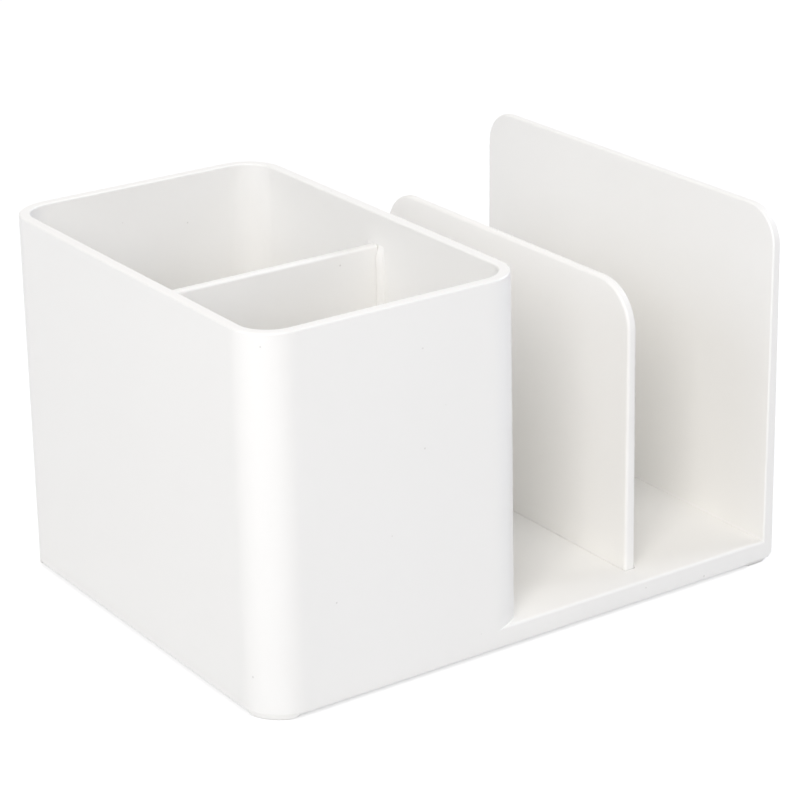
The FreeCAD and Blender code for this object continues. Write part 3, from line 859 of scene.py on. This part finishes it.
add_face(bm, low_row)
add_face(bm, deep_row)
combine(screw, to_object("cutter", bm, zinc), "DIFFERENCE")

tree, given, result = new_tree("cover_screws", {
    "Screw": "NodeSocketObject", "Most Turn": "NodeSocketFloat", "Seed": "NodeSocketInt",
    "Material": "NodeSocketMaterial",
})
shape = add_node(tree, "GeometryNodeObjectInfo", {}, {"Object": given.outputs["Screw"]})
turn = add_node(
    tree, "FunctionNodeRandomValue", {}, {"Seed": given.outputs["Seed"]}, data_type="FLOAT",
)
tree.links.new(given.outputs["Most Turn"], turn.inputs[3])
angles = add_node(tree, "ShaderNodeCombineXYZ", {}, {"Z": turn.outputs[1]})
copies = add_node(
    tree, "GeometryNodeInstanceOnPoints", {},
    {"Points": given.outputs["Geometry"], "Instance": shape.outputs["Geometry"],
     "Rotation": angles.outputs["Vector"]},
)
finish_tree(tree, given, result, copies)
screw_places = [(x, y, COVER_LOW) for x, y in at_corners(SCREW_INSET)]
screws = grow("cover_screws", screw_places, tree, {
    "Screw": screw, "Most Turn": math.pi / 2, "Seed": 4, "Material": zinc,
})
bpy.data.objects.remove(screw)
shade(screws)
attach(screws, "organizer")
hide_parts(*[f"cover_screw_{corner}" for x_side, y_side, corner in CORNERS])


# Four soft feet of white elastomer, one in each corner of the skirt. Each pad's ends ramp up to
# the skirt, its lower edge is bevelled, and a peg on top is pressed into the moulding. The left
# pads follow the round corners, and the right ones stand back a little from the square corners.
FOOT_RAMP = 2.0
FOOT_BEVEL = 0.4
FOOT_STEPS = 24
RIGHT_FOOT_CORNER = 3.4
RIGHT_FOOT_INSET = 0.3
RIGHT_FOOT_LOW_INSET = 0.9
PEG_RADIUS = 1.5
PEG_TOP = 4.3

# White elastomer: a softer, duller white than the moulding, with a fine dry skin.
elastomer = moulded_plastic(
    "white_elastomer", "#f3f2ef", "#f0efeb",
    roughness=0.5, spread=0.05, grain=0.8, grain_depth=0.004,
)


def pad_ring(x_side, y_side, corner, inset, reach, height):
    """A level outline of a foot at a corner: round outside, square inside."""
    arc = corner - inset
    first = math.degrees(math.asin(max(corner - reach, 0.0) / arc))
    turns = sweep(first, 90 - first, FOOT_STEPS)
    plan = [(corner - arc * math.sin(a), corner - arc * math.cos(a)) for a in turns]
    plan = [(reach, plan[0][1])] + plan + [(plan[-1][0], reach), (reach, reach)]
    return [(x_side * (RIGHT - u), y_side * (BACK - v), height) for u, v in plan]


# How far a foot reaches along the skirt at the upper edge of its bevel, part of the way up its ramp.
bevel_reach = FOOT_LENGTH - FOOT_RAMP * (1 - FOOT_BEVEL / SKIRT_EDGE)
for x_side, y_side, corner in CORNERS:
    if x_side < 0:
        radius, low_inset, inset = BOX_CORNER, 0.0, 0.0
    else:
        radius, low_inset, inset = RIGHT_FOOT_CORNER, RIGHT_FOOT_LOW_INSET, RIGHT_FOOT_INSET
    rows = [
        pad_ring(x_side, y_side, radius, low_inset + FOOT_BEVEL, FOOT_LENGTH - FOOT_RAMP, 0.0),
        pad_ring(x_side, y_side, radius, low_inset, bevel_reach, FOOT_BEVEL),
        pad_ring(x_side, y_side, radius, inset, FOOT_LENGTH, SKIRT_EDGE),
        pad_ring(x_side, y_side, radius, inset, FOOT_LENGTH, FOOT_TOP),
    ]
    bm = bmesh.new()
    add_strips(bm, rows)
    add_face(bm, rows[0])
    add_face(bm, rows[-1])
    foot_pad = to_object(f"foot_{corner}_pad", bm, elastomer)
    peg = disc(x_side * (RIGHT - PEG_INSET), y_side * (BACK - PEG_INSET), PEG_RADIUS)
    combine(foot_pad, solid([peg], FOOT_TOP - OVERLAP, PEG_TOP), "UNION")
    soften(foot_pad, width=0.1)
    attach(foot_pad, "organizer")
    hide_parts(f"foot_{corner}")


# The studio: a pale floor under a pale even sky, with two large soft lamps before the near corner
# and others at the front, both sides and behind. To the camera and in any gloss, the sky and the lit
# floor are white paper.
FLOOR_REACH = 3000.0
FLOOR_CLOUD = 60.0
FLOOR_GLOW = 0.5
SKY_LIGHT = 0.34
LAMP_DISTANCE = 1.8
LAMP_WIDTH = 0.8
LAMP_AIM = Vector((0, 0, 0.05))


def camera_ray_mix(tree, lit, seen):
    """One value for the light on the object and another for what the camera or a gloss sees."""
    path = add_node(tree, "ShaderNodeLightPath")
    straight = add_node(
        tree, "ShaderNodeMath", {},
        {0: path.outputs["Is Camera Ray"], 1: path.outputs["Is Glossy Ray"]}, operation="MAXIMUM",
    )
    any_seen = add_node(
        tree, "ShaderNodeMath", {},
        {0: straight.outputs["Value"], 1: path.outputs["Is Transmission Ray"]}, operation="MAXIMUM",
    )
    return add_node(
        tree, "ShaderNodeMapRange", {"To Min": lit, "To Max": seen},
        {"Value": any_seen.outputs["Value"]},
    )


# Matt paper: no gloss and hardly any cloud, so that it shows only the object's soft shadow.
paper, tree, output, place = new_material("white_studio_floor")
fibre = add_node(
    tree, "ShaderNodeTexNoise", {"Scale": 1 / (FLOOR_CLOUD * MM), "Detail": 2.0}, {"Vector": place},
)
tone = add_node(
    tree, "ShaderNodeMix", {"A": linear("#d4d4d4"), "B": linear("#d8d8d8")},
    {"Factor": fibre.outputs["Fac"]}, data_type="RGBA",
)
surface = add_node(tree, "ShaderNodeBsdfDiffuse", {}, {"Color": tone.outputs["Result"]})
lift = camera_ray_mix(tree, 0.0, FLOOR_GLOW)
glow = add_node(
    tree, "ShaderNodeEmission", {"Color": (1, 1, 1, 1)}, {"Strength": lift.outputs["Result"]},
)
both = add_node(
    tree, "ShaderNodeAddShader", {}, {0: surface.outputs["BSDF"], 1: glow.outputs["Emission"]},
)
tree.links.new(both.outputs["Shader"], output.inputs["Surface"])
bm = bmesh.new()
floor_corners = rectangle(-FLOOR_REACH, FLOOR_REACH, -FLOOR_REACH, FLOOR_REACH)
add_face(bm, [(x, y, 0) for x, y in floor_corners])
floor = to_object("floor", bm, paper)

world = bpy.data.worlds.new("studio_sky")
bpy.context.scene.world = world
world.use_nodes = True
sky = world.node_tree.nodes["Background"]
sky.inputs["Color"].default_value = (1, 1, 1, 1)
level = camera_ray_mix(world.node_tree, SKY_LIGHT, 1.0)
world.node_tree.links.new(level.outputs["Result"], sky.inputs["Strength"])


def direction(azimuth, elevation):
    """The way from the object to a place seen at an azimuth from the front and a height angle."""
    azimuth, elevation = math.radians(azimuth), math.radians(elevation)
    level_part = math.cos(elevation)
    return Vector((math.sin(azimuth) * level_part, -math.cos(azimuth) * level_part, math.sin(elevation)))


def soft_lamp(name, azimuth, elevation, power, colour):
    """A square soft box of some watts that faces the middle of the object."""
    lamp = bpy.data.lights.new(name, "AREA")
    lamp.shape = "RECTANGLE"
    lamp.size, lamp.size_y = LAMP_WIDTH, LAMP_WIDTH
    lamp.energy = power
    lamp.color = colour
    holder = bpy.data.objects.new(name, lamp)
    way = direction(azimuth, elevation)
    holder.location = way * LAMP_DISTANCE + LAMP_AIM
    holder.rotation_euler = way.to_track_quat("Z", "Y").to_euler()
    bpy.context.scene.collection.objects.link(holder)


soft_lamp("high key", -46, 42, 9.0, (1.0, 0.96, 0.91))
soft_lamp("low key", -46, 30, 7.6, (1.0, 0.98, 0.98))
soft_lamp("front", 0, 25, 3.3, (0.70, 0.80, 1.0))
soft_lamp("left", -95, 25, 4.8, (0.80, 0.87, 1.0))
soft_lamp("right", 85, 30, 11.0, (0.86, 0.89, 1.0))
soft_lamp("back", 160, 50, 4.2, (1.0, 0.92, 0.82))


# The camera stands where the photograph was taken from, to the left of the front and above it. Its
# place, turn and lens were fitted to the straight edges of the object.
CAMERA_PLACE = (-0.40714, -0.60008, 0.33650)
CAMERA_AZIMUTH = -34.309
CAMERA_ELEVATION = 21.646
CAMERA_ROLL = math.radians(-1.006)
LENS_LENGTH, SENSOR_WIDTH = 124.77, 36.0
backward = direction(CAMERA_AZIMUTH, CAMERA_ELEVATION)
across = math.radians(CAMERA_AZIMUTH)
level_right = Vector((math.cos(across), math.sin(across), 0))
level_up = backward.cross(level_right)
rightward = math.cos(CAMERA_ROLL) * level_right + math.sin(CAMERA_ROLL) * level_up
upward = -math.sin(CAMERA_ROLL) * level_right + math.cos(CAMERA_ROLL) * level_up
lens = bpy.data.cameras.new("camera")
lens.lens, lens.sensor_width = LENS_LENGTH, SENSOR_WIDTH
camera = bpy.data.objects.new("camera", lens)
turned = Matrix((rightward, upward, backward)).transposed().to_4x4()
camera.matrix_world = Matrix.Translation(CAMERA_PLACE) @ turned
bpy.context.scene.collection.objects.link(camera)
bpy.context.scene.camera = camera
bpy.context.scene.view_settings.view_transform = "Standard"
